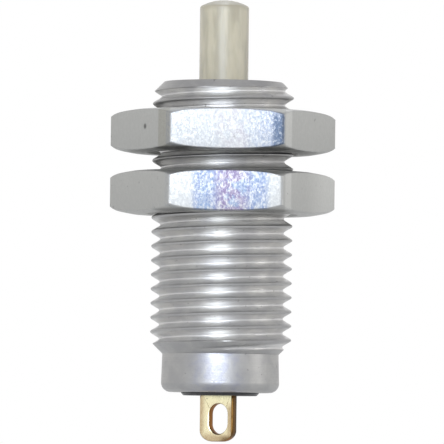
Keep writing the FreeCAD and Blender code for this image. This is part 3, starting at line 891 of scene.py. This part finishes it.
def rounded(item, width, marked=False):
    """Round an object's sharp edges, or those that are marked with a weight, for good."""
    bevel = item.modifiers.new("Rounding", "BEVEL")
    bevel.width = width
    bevel.segments = 4
    bevel.limit_method = "WEIGHT" if marked else "ANGLE"
    bevel.angle_limit = radians(35)
    settle(item)


# Operators.


class SWITCH_OT_barrel(bpy.types.Operator):
    """Build the threaded barrel with its bores, top chamfer, skirt and rolled lip"""

    bl_idname = "switch.barrel"
    bl_label = "Barrel"

    def execute(self, context):
        sizes, thread = context.scene.switch_barrel, context.scene.switch_thread
        top, bottom = BARREL_HIGH[2], BARREL_LOW[2]
        guide_end = top - sizes.guide_length
        step = bottom + sizes.stack_depth
        lip = bottom + sizes.lip_thickness
        ease = 0.1 * MM
        profile = [
            (sizes.rim_radius, top),
            (sizes.guide_radius + 2 * ease, top),
            (sizes.guide_radius, top - 2 * ease),
            (sizes.guide_radius, guide_end),
            (sizes.main_radius, guide_end),
            (sizes.main_radius, step),
            (sizes.stack_radius, step),
            (sizes.stack_radius, lip),
            (sizes.lip_radius, lip),
            (sizes.lip_radius, bottom + ease),
            (sizes.lip_radius + ease, bottom),
        ]
        foot, waist = sizes.skirt_radius + sizes.skirt_flare, sizes.skirt_radius - sizes.skirt_flare
        corner = (foot - sizes.corner_radius, bottom + sizes.corner_radius)
        profile += arc(corner, sizes.corner_radius, -90, 0, 10)
        profile.append((waist, sizes.thread_end))
        piece = mesh_object("barrel_shell", lathe(profile, thread.columns))
        ends, radii = (sizes.thread_end, top), (waist, sizes.rim_radius)
        cut_thread(piece, "barrel_metal", (0.0, 0.0, 0.0), ends, radii)
        shade(piece, 40)
        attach(piece, "shell")
        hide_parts("barrel")
        return {"FINISHED"}


class SWITCH_OT_nuts(bpy.types.Operator):
    """Build both hexagon nuts with their chamfers and inside threads"""

    bl_idname = "switch.nuts"
    bl_label = "Nuts"

    def execute(self, context):
        sizes, thread = context.scene.switch_nut, context.scene.switch_thread
        gaps = (thread.nut_crest_gap, thread.nut_root_gap, thread.play)
        mouth = thread.crest_radius + sizes.countersink
        nuts = (
            ("upper_nut", UPPER_LOW[2], UPPER_HIGH[2], sizes.upper_turn),
            ("lower_nut", LOWER_LOW[2], LOWER_HIGH[2], sizes.lower_turn),
        )
        for node, low, high, turn in nuts:
            piece = mesh_object(node + "_hexagon", nut_outside(sizes, thread, low, high, turn))
            rounded(piece, sizes.corner_radius, marked=True)
            cut_thread(piece, "nut_metal", gaps, (low, high), (mouth, mouth), -1.0, turn / (2 * pi))
            shade(piece, 30)
            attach(piece, node)
            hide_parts(node)
        return {"FINISHED"}


class SWITCH_OT_plunger(bpy.types.Operator):
    """Build the nylon plunger with its domed end and the hole for the stem"""

    bl_idname = "switch.plunger"
    bl_label = "Plunger"

    def execute(self, context):
        sizes = context.scene.switch_plunger
        foot, tip = PLUNGER_LOW[2], PLUNGER_HIGH[2]
        ease = 0.12 * MM
        dome = tip - sizes.dome_radius
        inside = sizes.radius - sizes.shoulder_radius
        lift = sqrt((sizes.dome_radius - sizes.shoulder_radius) ** 2 - inside**2)
        meet = degrees(atan2(lift, inside))
        flange_top = foot + sizes.flange_height
        profile = [
            (sizes.hole_radius, foot + sizes.hole_depth),
            (sizes.hole_radius, foot),
            (sizes.flange_radius - ease, foot),
            (sizes.flange_radius, foot + ease),
            (sizes.flange_radius, flange_top - ease),
            (sizes.flange_radius - ease, flange_top),
            (sizes.radius + ease, flange_top),
            (sizes.radius, flange_top + ease),
        ]
        profile += arc((inside, dome + lift), sizes.shoulder_radius, 0, meet, 8)
        profile += arc((0.0, dome), sizes.dome_radius, meet, 89, 14)[1:]
        piece = mesh_object("plunger_rod", lathe(profile, 96, closed=True))
        piece.data.materials.append(finish("nylon"))
        shade(piece, 40)
        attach(piece, "button")
        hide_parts("plunger")
        return {"FINISHED"}


class SWITCH_OT_spring(bpy.types.Operator):
    """Wind the return spring that sits round the stem"""

    bl_idname = "switch.spring"
    bl_label = "Return Spring"

    def execute(self, context):
        sizes = context.scene.switch_plunger
        low, high = SPRING_LOW[2], SPRING_HIGH[2]
        piece = mesh_object("spring_coil", bmesh.new())
        values = {
            "Coil Radius": SPRING_HIGH[0] - sizes.wire_radius,
            "Wire Radius": sizes.wire_radius,
            "Low End": low,
            "Height": high - low,
            "Open Turns": sizes.open_turns,
            "Material": finish("spring_steel"),
        }
        grow(piece, coil_tree(), values)
        shade(piece, 40)
        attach(piece, "shell")
        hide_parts("return_spring")
        pressed = next(joint for joint in frame["joints"] if joint["name"] == "plunger_press")
        travel = abs(min(pressed["range_m"]))
        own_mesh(piece)
        return {"FINISHED"}


class SWITCH_OT_lug(bpy.types.Operator):
    """Stamp the solder lug with its wire slot"""

    bl_idname = "switch.lug"
    bl_label = "Solder Lug"

    def execute(self, context):
        sizes = context.scene.switch_terminal
        piece = mesh_object("solder_lug", lug_plate(sizes))
        piece.data.materials.append(finish("brass"))
        piece.data.materials.append(finish("brass_edge"))
        rounded(piece, sizes.edge_radius)
        shade(piece, 35)
        # Both faces are shaded flat, so that no rounding bleeds into them.
        forwards = Vector((sin(sizes.turn), -cos(sizes.turn), 0.0))
        for face in piece.data.polygons:
            if abs(face.normal.dot(forwards)) > 0.999:
                face.use_smooth = False
        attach(piece, "shell")
        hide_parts("terminal_lug")
        return {"FINISHED"}


class SWITCH_OT_inner_parts(bpy.types.Operator):
    """Give the base, the contacts and the parts inside the shell their finishes"""

    bl_idname = "switch.inner_parts"
    bl_label = "Base and Contacts"

    def execute(self, context):
        finishes = {
            "terminal_base": "black_moulding",
            "insulating_spacer": "brown_moulding",
            "ground_ring": "contact_metal",
            "fixed_contact": "contact_metal",
            "moving_contact": "contact_metal",
            "contact_stem": "brass",
        }
        for node, name in finishes.items():
            places = frame["nodes"][node].material_slots
            if not places:
                raise RuntimeError(node + " has no material slot")
            for place in places:
                place.material = finish(name)
        return {"FINISHED"}


# Each lamp's name, its angles beside and above the front, its size, power and tint.
LAMPS = (
    ("front_softbox", -7.0, 4.0, (0.26, 0.6), 2.95, (0.84, 0.91, 1.0)),
    ("side_strip", 79.0, 4.0, (0.035, 0.3), 0.2, (1.0, 0.99, 0.97)),
    ("overhead_strip", 0.0, 122.0, (0.1, 0.3), 0.2, (0.95, 0.97, 1.0)),
)


class SWITCH_OT_stage(bpy.types.Operator):
    """Set the floor, the studio light and the photograph's camera"""

    bl_idname = "switch.stage"
    bl_label = "Stage"

    def execute(self, context):
        scene = context.scene
        sizes = scene.switch_stage
        shape = bmesh.new()
        bmesh.ops.create_grid(shape, x_segments=8, y_segments=8, size=3.0)
        bmesh.ops.translate(shape, verts=shape.verts, vec=(0.0, 0.0, CAD_BOX[0][2] - sizes.floor_gap))
        floor = mesh_object("studio_floor", shape)
        wires = Surface("studio_paper")
        tone = wires.noise(wires.position, 25 * MM, 2.0)
        material = wires.dress(Base_Color=wires.mix(tone, (0.78, 0.78, 0.77), (0.82, 0.82, 0.81)), Roughness=0.8)
        # From below the floor is clear, so that the underside can be looked at.
        below = wires.add("ShaderNodeNewGeometry").outputs["Backfacing"]
        clear = wires.out("ShaderNodeBsdfTransparent")
        blend = wires.out("ShaderNodeMixShader", {0: below, 1: wires.shader.outputs[0], 2: clear})
        wires.feed(wires.end.inputs[0], blend)
        floor.data.materials.append(material)
        self.light_world(scene)
        for lamp in LAMPS:
            self.add_lamp(scene, *lamp)
        self.set_camera(scene, sizes)
        return {"FINISHED"}

    def light_world(self, scene):
        """A white surround at the level of the switch that darkens overhead."""
        world = bpy.data.worlds.new("studio_surround")
        scene.world = world
        world.use_nodes = True
        world.node_tree.nodes.clear()
        wires = Wiring(world.node_tree)
        way = wires.split(wires.add("ShaderNodeTexCoord").outputs["Generated"])
        steep = wires.maths("ABSOLUTE", way["Z"])
        tone = wires.mix(wires.ramp(steep, 0.25, 0.8), (1.0, 1.0, 1.0), (0.7, 0.7, 0.72))
        wires.add("ShaderNodeOutputWorld", {0: wires.out("ShaderNodeBackground", {"Color": tone, "Strength": 1.0})})

    def add_lamp(self, scene, name, beside, above, size, power, tint):
        """A soft rectangular lamp that faces the switch, by its angles from the front."""
        side, lift = radians(beside), radians(above)
        way = Vector((sin(side) * cos(lift), -cos(side) * cos(lift), sin(lift)))
        lamp = bpy.data.lights.new(name, "AREA")
        lamp.shape = "RECTANGLE"
        lamp.size, lamp.size_y = size
        lamp.energy = power
        lamp.color = tint
        item = bpy.data.objects.new(name, lamp)
        scene.collection.objects.link(item)
        item.location = way * scene.switch_stage.lamp_reach
        item.rotation_euler = (-way).to_track_quat("-Z", "Y").to_euler()
        item.visible_camera = False

    def set_camera(self, scene, sizes):
        """The camera of the photograph: a long lens a little below level."""
        middle = Vector((0.0, 0.0, sizes.middle))
        back = Vector((0.0, -cos(sizes.elevation), sin(sizes.elevation)))
        lens = bpy.data.cameras.new("photo_camera")
        lens.sensor_fit = "VERTICAL"
        lens.sensor_height = 36.0
        lens.lens = lens.sensor_height * sizes.distance / sizes.field
        lens.clip_start = 0.01
        lens.clip_end = 20.0
        camera = bpy.data.objects.new(lens.name, lens)
        scene.collection.objects.link(camera)
        aim = (-back).to_track_quat("-Z", "Y") @ Matrix.Rotation(sizes.roll, 3, "Z").to_quaternion()
        camera.matrix_world = Matrix.Translation(middle + back * sizes.distance) @ aim.to_matrix().to_4x4()
        scene.camera = camera
        scene.view_settings.view_transform = "Standard"


class SWITCH_PT_panel(bpy.types.Panel):
    """Buttons that build the switch"""

    bl_idname = "SWITCH_PT_panel"
    bl_label = "Pushbutton Switch"
    bl_space_type = "VIEW_3D"
    bl_region_type = "UI"
    bl_category = "Switch"

    def draw(self, context):
        for operator in OPERATORS:
            self.layout.operator(operator.bl_idname)


OPERATORS = (
    SWITCH_OT_barrel,
    SWITCH_OT_nuts,
    SWITCH_OT_plunger,
    SWITCH_OT_spring,
    SWITCH_OT_lug,
    SWITCH_OT_inner_parts,
    SWITCH_OT_stage,
)


def register():
    for name, group in GROUPS.items():
        bpy.utils.register_class(group)
        setattr(bpy.types.Scene, name, PointerProperty(type=group))
    for item in (*OPERATORS, SWITCH_PT_panel):
        bpy.utils.register_class(item)


def unregister():
    for item in (SWITCH_PT_panel, *reversed(OPERATORS)):
        bpy.utils.unregister_class(item)
    for name, group in GROUPS.items():
        delattr(bpy.types.Scene, name)
        bpy.utils.unregister_class(group)


def main():
    """Build the switch, dress it and set the stage."""
    register()
    bpy.ops.switch.barrel()
    bpy.ops.switch.nuts()
    bpy.ops.switch.plunger()
    bpy.ops.switch.spring()
    bpy.ops.switch.lug()
    bpy.ops.switch.inner_parts()
    bpy.ops.switch.stage()


if __name__ == "__main__":
    main()
